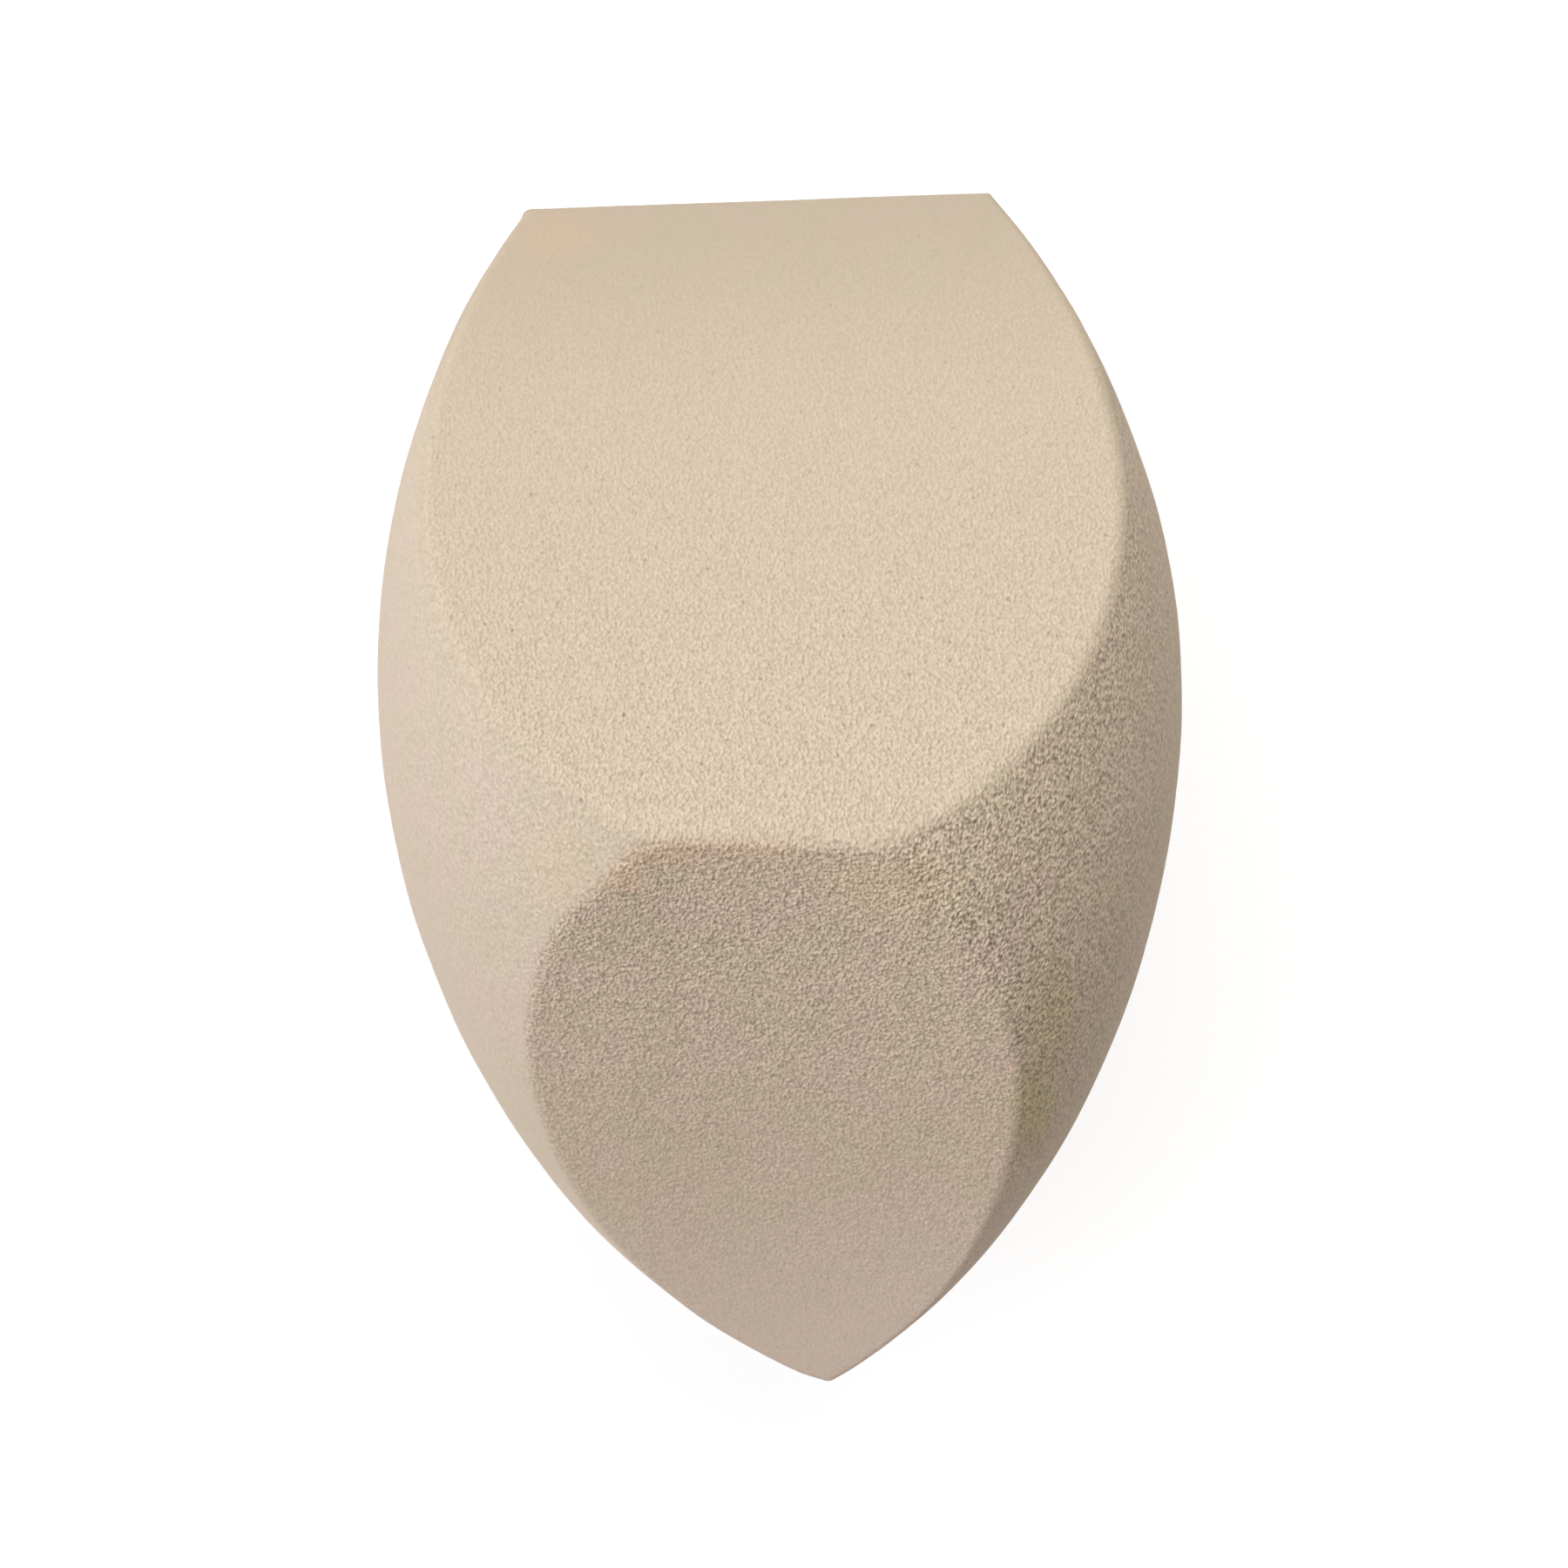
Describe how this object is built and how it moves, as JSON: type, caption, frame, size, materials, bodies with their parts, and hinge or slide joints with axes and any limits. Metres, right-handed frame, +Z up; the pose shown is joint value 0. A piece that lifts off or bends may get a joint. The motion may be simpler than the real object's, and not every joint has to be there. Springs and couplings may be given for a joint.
{
  "type": "makeup sponge",
  "caption": "Pointed oval makeup sponge of soft beige foam, with a flat end and two slanted cuts that meet in a ridge, for dabbing on and blending make-up.",
  "frame": {"origin": "middle of the small face that the sponge rests on, under its centre of mass", "axes": "+Z up from the surface it lies on, +Y level and toward the end that is cut flat, -Y toward the tip, X across the width; the two slanted cuts are on top"},
  "size_m": [0.041, 0.061, 0.0391],
  "materials": {
    "foam": "matte"
  },
  "bodies": {
    "root": {"foam_body": "foam"}
  },
  "joints": []
}
